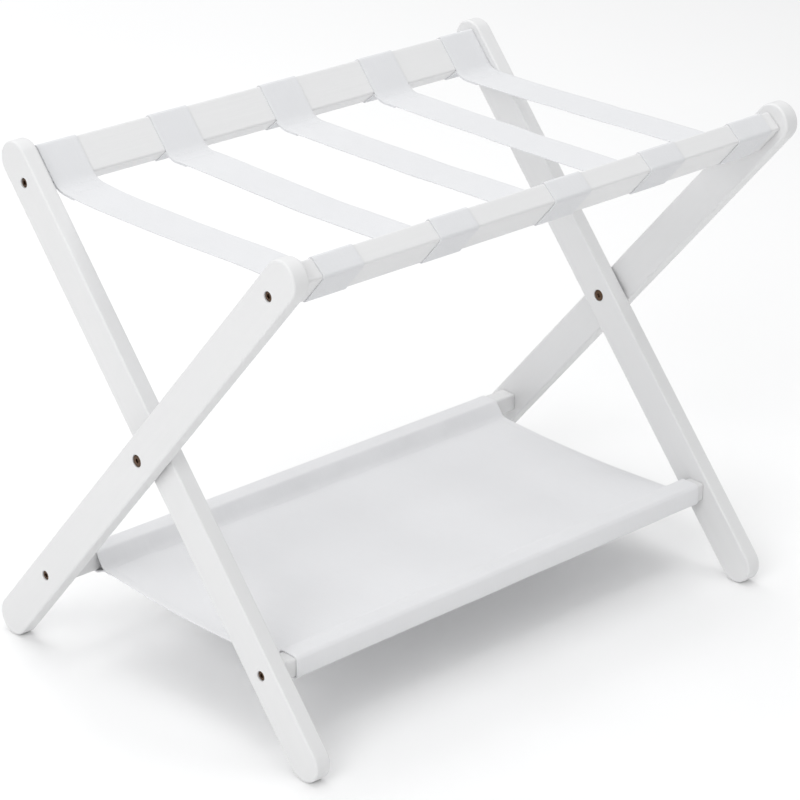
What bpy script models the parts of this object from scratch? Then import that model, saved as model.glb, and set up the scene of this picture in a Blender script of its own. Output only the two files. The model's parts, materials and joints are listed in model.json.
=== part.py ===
"""Folding luggage rack: two crossing wooden frames, five webbing straps and a cloth shelf.

World frame: +X along the rails, -Y to the front, +Z up, origin on the floor under the middle.
Each frame is laid out in its own frame-local axes, which an empty on the fold axis carries:
X along the rack, Y up the leg from the pivot, Z across the leg towards its upper side.
Lengths are in metres.
"""

import math

import bmesh
import bpy
from mathutils import Matrix

# Legs: flat bars with full round ends, crossing at the pivot bolts.
RACK_LENGTH = 0.672
LEG_LENGTH = 0.675
LEG_WIDTH = 0.040
LEG_THICKNESS = 0.018
LEG_GAP = 0.0035
LEG_ANGLE = math.radians(49.5)
PIVOT_FROM_FOOT = 0.341
EASED_EDGE = 0.0025

# Top rails: flat bars in line with their legs, each held by a bolt and a dowel at both ends.
TOP_RAIL_FROM_PIVOT = 0.300
TOP_RAIL_WIDTH = 0.040
TOP_RAIL_THICKNESS = 0.022
TOP_BOLT_BELOW_MIDDLE = 0.0093
DOWEL_ABOVE_MIDDLE = 0.0095

# Lower rails: square bars that lie level when the rack is open.
LOW_RAIL_FROM_PIVOT = 0.2315
LOW_RAIL_SIDE = 0.020

# Fabric.
STRAP_WIDTH = 0.048
STRAP_THICKNESS = 0.0014
STRAP_SPAN_THICKNESS = 0.0028
STRAP_SPAN_DROP = 0.0056
STRAP_FILLET = 0.022
STRAP_CENTRES = (-0.2685, -0.1285, 0.018, 0.152, 0.2713)
CLOTH_THICKNESS = 0.0012
SHELF_WIDTH = 0.566
SHELF_CENTRE = 0.0035
SEAM_FROM_RAIL = 0.012
SEAM_ABOVE_RAIL_BASE = 0.0055

# Hardware: M6 bolts with hexagon sockets, sunk in counterbores.
SHANK_RADIUS = 0.003
RAIL_HEAD_RADIUS = 0.0047
RAIL_HEAD_DEPTH = 0.0035
RAIL_HEAD_SUNK = 0.0010
RAIL_BOLT_REACH = 0.0155
INSERT_RADIUS = 0.0045
INSERT_LENGTH = 0.013
INSERT_HOLE_DEPTH = 0.020
PIVOT_HEAD_RADIUS = 0.0060
PIVOT_HEAD_DEPTH = 0.0026
PIVOT_HEAD_SUNK = 0.0006
BARREL_RADIUS = 0.0040
BARREL_WALL_BORE = 0.0033
FLANGE_DEPTH = 0.0020
WASHER_RADIUS = 0.0090
DOWEL_RADIUS = 0.0040
DOWEL_LENGTH = 0.028
DOWEL_IN_LEG = 0.0105
DOWEL_CHAMFER = 0.0008
HEX_ACROSS_FLATS = 0.004
SOCKET_DEPTH = 0.0020

# Clearances and fineness.
FIT_GAP = 0.0003
RUNNING_GAP = 0.00005
ARC_STEPS = 18
CORNER_STEPS = 3
ROUND_STEPS = 24
BEARING_STEPS = 32
MERGE = 0.00001

# Worked out from the above.
PIVOT_HEIGHT = (PIVOT_FROM_FOOT - LEG_WIDTH / 2) * math.sin(LEG_ANGLE) + LEG_WIDTH / 2
OUTER_FACE = RACK_LENGTH / 2
OUTER_INSIDE = OUTER_FACE - LEG_THICKNESS
INNER_FACE = OUTER_INSIDE - LEG_GAP
INNER_INSIDE = INNER_FACE - LEG_THICKNESS
TOP_BOLT_FROM_PIVOT = TOP_RAIL_FROM_PIVOT - TOP_BOLT_BELOW_MIDDLE
DOWEL_FROM_PIVOT = TOP_RAIL_FROM_PIVOT + DOWEL_ABOVE_MIDDLE

WHITE_PAINT = ("white_paint", (0.86, 0.86, 0.85), 0.45, 0.0)
WEBBING = ("white_webbing", (0.85, 0.86, 0.88), 0.85, 0.0)
SHELF_CLOTH = ("shelf_cloth", (0.80, 0.81, 0.83), 0.90, 0.0)
BRONZE = ("bronzed_steel", (0.16, 0.10, 0.07), 0.35, 1.0)
STEEL = ("zinc_steel", (0.60, 0.60, 0.62), 0.35, 1.0)
BEECH = ("bare_beech", (0.72, 0.53, 0.34), 0.65, 0.0)
NYLON = ("black_nylon", (0.03, 0.03, 0.03), 0.50, 0.0)


def clear_scene():
    for obj in list(bpy.data.objects):
        bpy.data.objects.remove(obj, do_unlink=True)


def new_collection(name):
    collection = bpy.data.collections.new(name)
    bpy.context.scene.collection.children.link(collection)
    return collection


def material(look):
    name, colour, roughness, metallic = look
    found = bpy.data.materials.get(name)
    if found:
        return found
    made = bpy.data.materials.new(name)
    made.use_nodes = True
    shader = made.node_tree.nodes["Principled BSDF"]
    shader.inputs["Base Color"].default_value = (*colour, 1.0)
    shader.inputs["Roughness"].default_value = roughness
    shader.inputs["Metallic"].default_value = metallic
    return made


def new_empty(name, height, turn):
    """An empty on the fold axis that stands the frame built on it at the leg angle."""
    empty = bpy.data.objects.new(name, None)
    empty.location = (0.0, 0.0, height)
    empty.rotation_euler = (LEG_ANGLE, 0.0, turn)
    PARTS.objects.link(empty)
    return empty


def add_object(name, mesh, collection, look=None, parent=None):
    obj = bpy.data.objects.new(name, mesh)
    collection.objects.link(obj)
    obj.parent = parent
    if look:
        mesh.materials.append(material(look))
    return obj


def rounded(corners):
    """The outline through corners (u, v, radius), each rounded by an arc of its radius."""
    points = []
    count = len(corners)
    for index, (u, v, radius) in enumerate(corners):
        before = corners[index - 1]
        after = corners[(index + 1) % count]
        into = math.atan2(v - before[1], u - before[0])
        out = math.atan2(after[1] - v, after[0] - u)
        turn = (out - into + math.pi) % (2 * math.pi) - math.pi
        reach = radius * math.tan(abs(turn) / 2)
        side = math.copysign(1.0, turn)
        start_u = u - reach * math.cos(into)
        start_v = v - reach * math.sin(into)
        centre_u = start_u - side * radius * math.sin(into)
        centre_v = start_v + side * radius * math.cos(into)
        steps = max(1, round(abs(turn) / (math.pi / 2) * CORNER_STEPS)) if radius else 0
        for step in range(steps + 1):
            angle = into + turn * step / max(1, steps)
            points.append((centre_u + side * radius * math.sin(angle),
                           centre_v - side * radius * math.cos(angle)))
    return points


def box_corners(half_u, half_v, radius, centre=(0.0, 0.0)):
    u, v = centre
    return [(u + half_u, v - half_v, radius), (u + half_u, v + half_v, radius),
            (u - half_u, v + half_v, radius), (u - half_u, v - half_v, radius)]


def extruded(name, outlines, length, look, parent=None):
    """A solid whose section in the local YZ plane is the first outline less the others."""
    curve = bpy.data.curves.new(name, "CURVE")
    curve.dimensions = "2D"
    curve.fill_mode = "BOTH"
    curve.extrude = length / 2
    for outline in outlines:
        spline = curve.splines.new("POLY")
        spline.points.add(len(outline) - 1)
        for point, (u, v) in zip(spline.points, outline):
            point.co = (u, v, 0.0, 1.0)
        spline.use_cyclic_u = True
    source = add_object(name + "_curve", curve, CUTTERS)
    bpy.context.view_layer.update()
    graph = bpy.context.evaluated_depsgraph_get()
    mesh = bpy.data.meshes.new_from_object(source.evaluated_get(graph))
    bpy.data.objects.remove(source, do_unlink=True)
    mesh.name = name
    # Local X of the curve becomes Y, its Y becomes Z and its depth becomes X.
    mesh.transform(Matrix(((0, 0, 1, 0), (1, 0, 0, 0), (0, 1, 0, 0), (0, 0, 0, 1))))
    shape = bmesh.new()
    shape.from_mesh(mesh)
    bmesh.ops.remove_doubles(shape, verts=shape.verts, dist=MERGE)
    bmesh.ops.dissolve_limit(shape, angle_limit=math.radians(0.5), verts=shape.verts,
                             edges=shape.edges)
    shape.to_mesh(mesh)
    shape.free()
    mesh.set_sharp_from_angle(angle=math.radians(35))
    return add_object(name, mesh, PARTS, look, parent)


def turned(name, profile, steps, collection, look=None, parent=None, closed=False):
    """A solid of revolution about local X from (radius, x) points, highest x first."""
    mesh = bpy.data.meshes.new(name)
    verts = [(radius, 0.0, height) for radius, height in profile]
    edges = [(index, index + 1) for index in range(len(verts) - 1)]
    if closed:
        edges.append((len(verts) - 1, 0))
    mesh.from_pydata(verts, edges, [])
    obj = add_object(name, mesh, collection, look, parent)
    screw = obj.modifiers.new("turn", "SCREW")
    screw.axis = "Z"
    screw.steps = steps
    screw.render_steps = steps
    screw.use_merge_vertices = True
    screw.merge_threshold = MERGE
    return obj


def place_along_x(obj, x, y, z, side):
    """Stand a turned piece with its local +Z pointing outwards at one end of the rack."""
    obj.location = (x, y, z)
    obj.rotation_euler = (0.0, side * math.pi / 2, 0.0)


def cut(target, cutter):
    cutter.hide_render = True
    cutter.display_type = "WIRE"
    modifier = target.modifiers.new(cutter.name, "BOOLEAN")
    modifier.operation = "DIFFERENCE"
    modifier.solver = "EXACT"
    modifier.object = cutter


def stepped_hole(target, name, steps, x, y, z, side):
    """Cut a stepped round hole; steps are (radius, inner end, outer end), outermost first."""
    outermost = steps[0]
    profile = [(0.0, outermost[2])]
    for radius, inner, outer in steps:
        profile.append((radius, outer))
        profile.append((radius, inner))
    profile.append((0.0, steps[-1][1]))
    cutter = turned(name, profile, BEARING_STEPS, CUTTERS, parent=target.parent)
    place_along_x(cutter, x, y, z, side)
    cut(target, cutter)


def hexagon_socket(target, name, inner, outer):
    """Cut a hexagon socket into a turned piece, between two heights on its own axis."""
    mesh = bpy.data.meshes.new(name)
    shape = bmesh.new()
    radius = HEX_ACROSS_FLATS / 2 / math.cos(math.pi / 6)
    bmesh.ops.create_cone(shape, cap_ends=True, segments=6, radius1=radius, radius2=radius,
                          depth=outer - inner)
    bmesh.ops.translate(shape, verts=shape.verts, vec=(0.0, 0.0, (outer + inner) / 2))
    shape.to_mesh(mesh)
    shape.free()
    cutter = add_object(name, mesh, CUTTERS, parent=target.parent)
    cutter.location = target.location
    cutter.rotation_euler = target.rotation_euler
    cut(target, cutter)


def side_name(side):
    return "right" if side > 0 else "left"


def leg(name, frame, side, outside, is_outer):
    """One leg, with its three counterbored bolt holes and the blind hole for the dowel."""
    half = LEG_WIDTH / 2
    top = LEG_LENGTH - PIVOT_FROM_FOOT - half
    bottom = PIVOT_FROM_FOOT - half
    outline = []
    for centre, start in ((top, -math.pi / 2), (-bottom, math.pi / 2)):
        for step in range(ARC_STEPS + 1):
            angle = start + math.pi * step / ARC_STEPS
            outline.append((centre + half * math.cos(angle), half * math.sin(angle)))
    obj = extruded(name, [outline], LEG_THICKNESS, WHITE_PAINT, frame)
    outwards = side * OUTWARDS[frame.name]
    obj.location.x = outwards * (outside - LEG_THICKNESS / 2)
    ease = obj.modifiers.new("eased_edges", "BEVEL")
    ease.width = EASED_EDGE
    ease.segments = CORNER_STEPS
    ease.limit_method = "ANGLE"
    ease.angle_limit = math.radians(60)
    face = outwards * outside
    through = LEG_THICKNESS + SOCKET_DEPTH
    beyond = SOCKET_DEPTH
    seat = RAIL_HEAD_SUNK + RAIL_HEAD_DEPTH + FIT_GAP
    rail_hole = [(RAIL_HEAD_RADIUS + FIT_GAP, -seat, beyond),
                 (SHANK_RADIUS + FIT_GAP, -through, -seat)]
    for place, y in (("top", TOP_BOLT_FROM_PIVOT), ("low", -LOW_RAIL_FROM_PIVOT)):
        stepped_hole(obj, f"{name}_{place}_hole", rail_hole, face, y, 0.0, outwards)
    if is_outer:
        seat = PIVOT_HEAD_SUNK + PIVOT_HEAD_DEPTH + FIT_GAP
        pivot_hole = [(PIVOT_HEAD_RADIUS + FIT_GAP, -seat, beyond),
                      (SHANK_RADIUS + FIT_GAP, -through, -seat)]
        stepped_hole(obj, name + "_pivot_hole", pivot_hole, face, 0.0, 0.0, outwards)
    else:
        bearing = (BARREL_RADIUS + RUNNING_GAP) / math.cos(math.pi / BEARING_STEPS)
        seat = PIVOT_HEAD_SUNK + FLANGE_DEPTH + FIT_GAP
        pivot_hole = [(PIVOT_HEAD_RADIUS + FIT_GAP, -seat, beyond), (bearing, -through, -seat)]
        inside = outwards * (outside - LEG_THICKNESS)
        stepped_hole(obj, name + "_pivot_hole", pivot_hole, inside, 0.0, 0.0, -outwards)
    inside = outwards * (outside - LEG_THICKNESS)
    dowel_hole = [(DOWEL_RADIUS + FIT_GAP, -DOWEL_IN_LEG - FIT_GAP, beyond)]
    stepped_hole(obj, name + "_dowel_hole", dowel_hole, inside, DOWEL_FROM_PIVOT, 0.0, -outwards)
    return obj


def rail(name, frame, inside, y, corners, tilt, bolt_y, dowel_y=None):
    """A rail between two legs, bored in both ends for its inserts and its dowels."""
    obj = extruded(name, [rounded(corners)], 2 * (inside - FIT_GAP), WHITE_PAINT, frame)
    obj.location.y = y
    obj.rotation_euler.x = tilt
    beyond = SOCKET_DEPTH
    for side in (-1, 1):
        hole = [(INSERT_RADIUS + FIT_GAP, -INSERT_HOLE_DEPTH, beyond)]
        end = f"{name}_{side_name(side)}"
        stepped_hole(obj, end + "_insert_hole", hole, side * inside, bolt_y, 0.0, side)
        if dowel_y:
            depth = DOWEL_LENGTH - DOWEL_IN_LEG + FIT_GAP
            hole = [(DOWEL_RADIUS + FIT_GAP, -depth, beyond)]
            stepped_hole(obj, end + "_dowel_hole", hole, side * inside, dowel_y, 0.0, side)
    return obj


def rail_bolt(name, frame, outwards, outside, y):
    reach = LEG_THICKNESS + RAIL_BOLT_REACH
    head_top = -RAIL_HEAD_SUNK
    head_base = head_top - RAIL_HEAD_DEPTH
    chamfer = RAIL_HEAD_DEPTH / 8
    profile = [(0.0, head_top), (RAIL_HEAD_RADIUS - chamfer, head_top),
               (RAIL_HEAD_RADIUS, head_top - chamfer), (RAIL_HEAD_RADIUS, head_base),
               (SHANK_RADIUS, head_base), (SHANK_RADIUS, -reach), (0.0, -reach)]
    obj = turned(name, profile, ROUND_STEPS, PARTS, BRONZE, frame)
    place_along_x(obj, outwards * outside, y, 0.0, outwards)
    hexagon_socket(obj, name + "_socket", head_top - SOCKET_DEPTH, head_top + SOCKET_DEPTH)


def threaded_insert(name, frame, outwards, inside, y):
    bore = SHANK_RADIUS + FIT_GAP
    start = -2 * FIT_GAP
    end = start - INSERT_LENGTH
    profile = [(bore, start), (INSERT_RADIUS, start), (INSERT_RADIUS, end), (bore, end)]
    obj = turned(name, profile, ROUND_STEPS, PARTS, STEEL, frame, closed=True)
    place_along_x(obj, outwards * inside, y, 0.0, outwards)


def dowel_pin(name, frame, outwards, inside, y):
    top = DOWEL_IN_LEG
    base = top - DOWEL_LENGTH
    tip = DOWEL_RADIUS - DOWEL_CHAMFER
    profile = [(0.0, top), (tip, top), (DOWEL_RADIUS, top - DOWEL_CHAMFER),
               (DOWEL_RADIUS, base + DOWEL_CHAMFER), (tip, base), (0.0, base)]
    obj = turned(name, profile, ROUND_STEPS, PARTS, BEECH, frame)
    place_along_x(obj, outwards * inside, y, 0.0, outwards)


def pivot_set(side, frame):
    """The bolt, sleeve nut and washer that join two crossing legs; the inner leg turns on it."""
    where = side_name(side)
    outwards = side * OUTWARDS[frame.name]
    head_top = -PIVOT_HEAD_SUNK
    head_base = head_top - PIVOT_HEAD_DEPTH
    chamfer = PIVOT_HEAD_DEPTH / 6
    sleeve_end = LEG_THICKNESS + FIT_GAP
    nut_face = LEG_THICKNESS + LEG_GAP + LEG_THICKNESS - PIVOT_HEAD_SUNK
    flange_base = nut_face - FLANGE_DEPTH
    bolt_end = flange_base - FLANGE_DEPTH
    profile = [(0.0, head_top), (PIVOT_HEAD_RADIUS - chamfer, head_top),
               (PIVOT_HEAD_RADIUS, head_top - chamfer), (PIVOT_HEAD_RADIUS, head_base),
               (SHANK_RADIUS, head_base), (SHANK_RADIUS, -bolt_end), (0.0, -bolt_end)]
    bolt = turned(f"pivot_bolt_{where}", profile, ROUND_STEPS, PARTS, BRONZE, frame)
    place_along_x(bolt, outwards * OUTER_FACE, 0.0, 0.0, outwards)
    hexagon_socket(bolt, bolt.name + "_socket", head_top - PIVOT_HEAD_DEPTH * 0.8,
                   head_top + SOCKET_DEPTH)
    bore = BARREL_WALL_BORE
    profile = [(bore, -sleeve_end), (BARREL_RADIUS, -sleeve_end), (BARREL_RADIUS, -flange_base),
               (PIVOT_HEAD_RADIUS, -flange_base), (PIVOT_HEAD_RADIUS, chamfer - nut_face),
               (PIVOT_HEAD_RADIUS - chamfer, -nut_face), (0.0, -nut_face), (0.0, -bolt_end - FIT_GAP),
               (bore, -bolt_end - FIT_GAP)]
    nut = turned(f"pivot_nut_{where}", profile, BEARING_STEPS, PARTS, BRONZE, frame, closed=True)
    place_along_x(nut, outwards * OUTER_FACE, 0.0, 0.0, outwards)
    hexagon_socket(nut, nut.name + "_socket", -nut_face - SOCKET_DEPTH,
                   -bolt_end - 2 * FIT_GAP)
    near = -LEG_THICKNESS - FIT_GAP
    far = -LEG_THICKNESS - LEG_GAP + FIT_GAP
    bore = BARREL_RADIUS + FIT_GAP
    profile = [(bore, near), (WASHER_RADIUS, near), (WASHER_RADIUS, far), (bore, far)]
    washer = turned(f"pivot_washer_{where}", profile, ROUND_STEPS, PARTS, NYLON, frame, closed=True)
    place_along_x(washer, outwards * OUTER_FACE, 0.0, 0.0, outwards)


def build_frame(frame, label, outside, top_name, low_name, is_outer):
    """Two legs, their top and lower rails, and the bolts, inserts and dowels between them."""
    inside = outside - LEG_THICKNESS
    top_corners = box_corners(TOP_RAIL_WIDTH / 2, TOP_RAIL_THICKNESS / 2, EASED_EDGE)
    rail(top_name, frame, inside, TOP_RAIL_FROM_PIVOT, top_corners, 0.0,
         TOP_BOLT_FROM_PIVOT, DOWEL_FROM_PIVOT)
    low_corners = box_corners(LOW_RAIL_SIDE / 2, LOW_RAIL_SIDE / 2, EASED_EDGE)
    rail(low_name, frame, inside, -LOW_RAIL_FROM_PIVOT, low_corners, -LEG_ANGLE,
         -LOW_RAIL_FROM_PIVOT)
    for side in (-1, 1):
        where = side_name(side)
        outwards = side * OUTWARDS[frame.name]
        leg(f"{label}_leg_{where}", frame, side, outside, is_outer)
        for rail_name, y in ((top_name, TOP_BOLT_FROM_PIVOT), (low_name, -LOW_RAIL_FROM_PIVOT)):
            rail_bolt(f"{rail_name}_bolt_{where}", frame, outwards, outside, y)
            threaded_insert(f"{rail_name}_insert_{where}", frame, outwards, inside, y)
        dowel_pin(f"{top_name}_dowel_{where}", frame, outwards, inside, DOWEL_FROM_PIVOT)


def frame_to_world(along, across):
    """World (y, z) of a point on the inner frame, from its place along and across the leg."""
    cosine = math.cos(LEG_ANGLE)
    sine = math.sin(LEG_ANGLE)
    return (along * cosine - across * sine, PIVOT_HEIGHT + along * sine + across * cosine)


def top_rail_ring(grow):
    """Corners of the back top rail's section, grown by a distance, in world (y, z)."""
    radius = EASED_EDGE + grow
    half_along = TOP_RAIL_WIDTH / 2 + grow
    half_across = TOP_RAIL_THICKNESS / 2 + grow
    corners = []
    for along, across in ((-1, 1), (1, 1), (1, -1), (-1, -1)):
        y, z = frame_to_world(TOP_RAIL_FROM_PIVOT + along * half_along, across * half_across)
        corners.append((y, z, radius))
    return corners


def mirrored(corners):
    """The same corners on the other side of the rack, in the order that closes the outline."""
    return [(-y, z, radius) for y, z, radius in reversed(corners)]


def meets_height(start, end, height):
    """The y at which the line through two corners reaches a height."""
    share = (height - start[1]) / (end[1] - start[1])
    return start[0] + share * (end[0] - start[0])


def strap_outlines():
    """A strap's section: a loop round each top rail, and a level span between the loops."""
    inner_low, inner_top, outer_top, outer_low = top_rail_ring(FIT_GAP + STRAP_THICKNESS)
    bare_edge = frame_to_world(TOP_RAIL_FROM_PIVOT - TOP_RAIL_WIDTH / 2, TOP_RAIL_THICKNESS / 2)
    span_top = bare_edge[1] - STRAP_SPAN_DROP
    span_base = span_top - STRAP_SPAN_THICKNESS
    leaves = (meets_height(inner_top, inner_low, span_top), span_top, STRAP_FILLET)
    returns = (meets_height(outer_low, inner_low, span_base), span_base, STRAP_SPAN_THICKNESS)
    half = [leaves, inner_top, outer_top, outer_low, returns]
    bore = top_rail_ring(FIT_GAP)
    return [rounded(half + mirrored(half)), rounded(bore), rounded(mirrored(bore))]


def shelf_outlines():
    """The shelf's section: a sleeve round each lower rail, closed by a seam, and the sheet."""
    y, z = frame_to_world(-LOW_RAIL_FROM_PIVOT, 0.0)
    y = -y
    half = LOW_RAIL_SIDE / 2
    out = half + FIT_GAP + CLOTH_THICKNESS
    radius = EASED_EDGE + FIT_GAP + CLOTH_THICKNESS
    seam_y = y - half - SEAM_FROM_RAIL
    seam_top = z - half + SEAM_ABOVE_RAIL_BASE
    seam_base = seam_top - CLOTH_THICKNESS
    sleeve = [(seam_y, seam_top, radius), (y - out, z + out, radius), (y + out, z + out, radius),
              (y + out, z - out, radius), (y - out, z - out, radius), (seam_y, seam_base, radius)]
    clear = half + FIT_GAP
    bore_radius = EASED_EDGE + FIT_GAP
    bore = [(y - clear, z + clear, bore_radius), (y + clear, z + clear, bore_radius),
            (y + clear, z - clear, bore_radius), (y - clear, z - clear, bore_radius),
            (seam_y + 2 * CLOTH_THICKNESS, seam_top - CLOTH_THICKNESS / 2, 0.0)]
    return [rounded(sleeve + mirrored(sleeve)), rounded(bore), rounded(mirrored(bore))]


clear_scene()
PARTS = new_collection("folding_luggage_rack")
CUTTERS = new_collection("cutters")

# The outer frame is the inner one turned half a turn about Z, so its local +X points to -X.
inner_frame = new_empty("inner_frame_axis", PIVOT_HEIGHT, 0.0)
outer_frame = new_empty("outer_frame_axis", PIVOT_HEIGHT, math.pi)
OUTWARDS = {inner_frame.name: 1, outer_frame.name: -1}

build_frame(inner_frame, "inner", INNER_FACE, "back_top_rail", "front_lower_rail", False)
build_frame(outer_frame, "outer", OUTER_FACE, "front_top_rail", "back_lower_rail", True)
for end in (-1, 1):
    pivot_set(end, outer_frame)

for number, centre in enumerate(STRAP_CENTRES, start=1):
    strap = extruded(f"strap_{number}", strap_outlines(), STRAP_WIDTH, WEBBING)
    strap.location.x = centre
shelf = extruded("shelf_sling", shelf_outlines(), SHELF_WIDTH, SHELF_CLOTH)
shelf.location.x = SHELF_CENTRE
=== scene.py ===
"""Folding luggage rack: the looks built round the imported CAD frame.

Row frame: +X along the rails, -Y to the front, +Z up, origin on the floor under the middle.
Lengths are in metres. Wooden pieces and hardware are built in frame-local axes, with Y up the
leg from the fold axis and Z across the leg. Cloth is a path in the YZ plane swept along X.
"""

import json
import math

import bmesh
import bpy
import numpy as np
from mathutils import Matrix, Vector


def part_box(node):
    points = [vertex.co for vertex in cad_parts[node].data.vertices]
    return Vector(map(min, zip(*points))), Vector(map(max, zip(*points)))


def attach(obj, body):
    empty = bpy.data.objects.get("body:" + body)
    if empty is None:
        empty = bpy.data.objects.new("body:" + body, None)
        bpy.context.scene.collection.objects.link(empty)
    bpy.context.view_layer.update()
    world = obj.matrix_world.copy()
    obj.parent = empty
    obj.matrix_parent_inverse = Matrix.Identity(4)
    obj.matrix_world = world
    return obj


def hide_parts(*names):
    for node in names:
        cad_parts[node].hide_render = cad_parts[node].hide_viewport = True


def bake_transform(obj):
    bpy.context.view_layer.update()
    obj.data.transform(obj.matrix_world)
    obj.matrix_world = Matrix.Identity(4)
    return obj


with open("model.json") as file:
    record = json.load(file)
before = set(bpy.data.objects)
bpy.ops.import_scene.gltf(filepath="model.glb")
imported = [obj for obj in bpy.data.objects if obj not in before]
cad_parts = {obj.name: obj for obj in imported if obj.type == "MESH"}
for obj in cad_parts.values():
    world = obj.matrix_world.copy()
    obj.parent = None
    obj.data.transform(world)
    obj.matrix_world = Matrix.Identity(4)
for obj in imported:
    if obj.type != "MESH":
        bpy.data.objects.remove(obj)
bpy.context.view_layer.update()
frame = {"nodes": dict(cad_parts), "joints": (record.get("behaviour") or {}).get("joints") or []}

# Wooden frames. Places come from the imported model; these are the shapes it can't give directly.
LEG_ANGLE = math.radians(49.5)
LEG_WIDTH = 0.040
LEG_TOP = 0.314
LEG_BOTTOM = -0.321
TOP_RAIL = 0.300
TOP_RAIL_HALF = (0.020, 0.011)
LOW_RAIL = -0.2315
LOW_RAIL_HALF = (0.010, 0.010)
TOP_BOLT = 0.2907
TOP_DOWEL = 0.3095
DOWEL_HOLE = 0.0043
DOWEL_HOLE_IN_LEG = 0.0108
DOWEL_HOLE_IN_RAIL = 0.0178
INSERT_HOLE = 0.0048
INSERT_HOLE_DEPTH = 0.020
EASED_EDGE = 0.0025
RAIL_END_ARRIS = 0.0006
HOLE_LIP = 0.0004
HOLE_OVERRUN = 0.0030
PIVOT = Vector(frame["joints"][0]["pos_m"])

# Hardware. Depths are below the outer leg's face, except for rail bolts: below their own leg's.
SHANK = 0.0030
SOCKET_FLATS = 0.0040
SOCKET_CHAMFER = 0.0003
SOCKET_POINT = 0.0006
HEAD_ROUND = 0.0007
HEAD_CROWN = 0.00025
RAIL_HEAD = 0.0047
RAIL_HEAD_TOP = 0.0010
RAIL_HEAD_BASE = 0.0045
RAIL_SOCKET_BASE = 0.0033
RAIL_BOLT_END = 0.0335
PIVOT_HEAD = 0.0060
PIVOT_HEAD_TOP = 0.0006
PIVOT_HEAD_BASE = 0.0032
PIVOT_SOCKET_BASE = 0.0024
PIVOT_BOLT_END = 0.0349
PIVOT_STACK = 0.0395
NUT_START = 0.0183
NUT_BORE = 0.0033
NUT_BORE_END = 0.0352
NUT_BARREL = 0.0040
NUT_FLANGE_BASE = 0.0369
NUT_FACE = 0.0389
NUT_RIM = 0.0005
NUT_RIM_SLOPE = 0.0003
NUT_RIM_TOP = 0.0001
WASHER_BORE = 0.0043
WASHER = 0.0090
WASHER_NEAR = 0.0183
WASHER_FAR = 0.0212
WASHER_RIM = 0.0004
RUNNING_GAP = 0.0001

# Webbing. Each strap sits a little off square, and hangs and leans in its own way.
STRAP_WIDTH = 0.048
STRAP_THICKNESS = 0.0013
STRAP_GAP = 0.00006
PLY_GAP = 0.00005
SPAN_BELOW_EDGE = 0.0060
STRAP_FILLET = 0.020
LOWER_PLY_BEND = 0.0012
STRAP_FREE_END = 0.162
STRAP_OVERLAP_END = 0.143
STRAP_BOX_START = 0.003
STRAP_BOX_END = 0.021
STRAP_MARGIN = 0.005
STRAP_CURL = 0.0012
STRAP_RIPPLE = 0.00025
STRAP_RIPPLE_SLANT = 0.3
STRAP_LEAN_GAIN = 1.7
STRAP_FRONTS = (-0.2710, -0.1290, 0.0195, 0.1510, 0.2800)
STRAP_BACKS = (-0.2665, -0.1280, 0.0170, 0.1530, 0.2722)
STRAP_SAGS = (0.0014, 0.0026, 0.0012, 0.0010, 0.0006)
STRAP_LEANS = (0.0024, -0.0006, 0.0004, 0.0, 0.0010)
STRAP_COLUMNS = 17
STRAP_STEP = 0.006
STRAP_FINE_STEP = 0.0015

# Shelf cloth.
CLOTH_THICKNESS = 0.0009
HEM_THICKNESS = 0.0015
HEM_WIDTH = 0.010
HEM_RAMP = 0.002
SEAM_FROM_RAIL = 0.012
SEAM_ABOVE_BASE = 0.0051
SHELF_TAIL = 0.010
SHELF_TAIL_GAP = 0.0002
SHELF_TAIL_BEND = 0.004
SHEET_BEND = 0.009
SLEEVE_CORNER = 0.0042
PUCKER = 0.0021
PUCKER_PAST_SEAM = 0.004
PUCKER_REACH = 0.010
SLEEVE_WAVE = 0.0006
SLEEVE_FACE_FROM_PUCKER = 0.052
SLEEVE_FACE_REACH = 0.012
SHELF_SAG = 0.0022
SHELF_SAG_LEFT = 0.0030
SHELF_SAG_RIGHT = 0.0016
SHELF_SAG_REACH = 0.055
SHELF_SAG_WAVE = 0.0006
SHELF_PULL = 0.0004
SHELF_PULL_SLANT = 0.2
SHELF_COLUMNS = 141
SHELF_STEP = 0.005

# Thread.
STITCH_PITCH = 0.0040
STITCH_LENGTH = 0.0029
THREAD = 0.00055
STITCH_LIFT = 0.2
STITCH_DIP = 1.1
STITCH_TIP = 0.05
SEAM_MARGIN = 0.003
HEM_SEAM_MARGIN = 0.0025
HEM_SEAM_FROM_SLEEVE = 0.004

CORNER_STEPS = 6
END_STEPS = 40
ROUND_STEPS = 48
CURVE_STEP = math.radians(9)
SOLID_SHARP = math.radians(32.0)
CLOTH_SHARP = math.radians(60.0)
SAME_PLACE = 0.000001
FIT_GAP = 0.0003


# ---------------------------------------------------------------------------------------------
# Shader helpers


def new_material(name):
    material = bpy.data.materials.new(name)
    material.use_nodes = True
    tree = material.node_tree
    return material, tree, tree.nodes["Principled BSDF"]


def add(tree, kind, settings=None, **inputs):
    """A new shader node; inputs are sockets to link or values to set, by name or as i0, i1."""
    node = tree.nodes.new("ShaderNode" + kind)
    for key, value in (settings or {}).items():
        setattr(node, key, value)
    for key, value in inputs.items():
        numbered = key[0] == "i" and key[1:].isdigit()
        socket = node.inputs[int(key[1:]) if numbered else key.replace("_", " ")]
        if isinstance(value, bpy.types.NodeSocket):
            tree.links.new(value, socket)
        else:
            socket.default_value = value
    return node


def calc(tree, operation, *values):
    inputs = {f"i{index}": value for index, value in enumerate(values)}
    return add(tree, "Math", {"operation": operation}, **inputs).outputs[0]


def noise(tree, vector, scale, detail=3.0, roughness=0.55):
    return add(tree, "TexNoise", None, Vector=vector, Scale=scale, Detail=detail,
               Roughness=roughness).outputs["Fac"]


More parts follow.
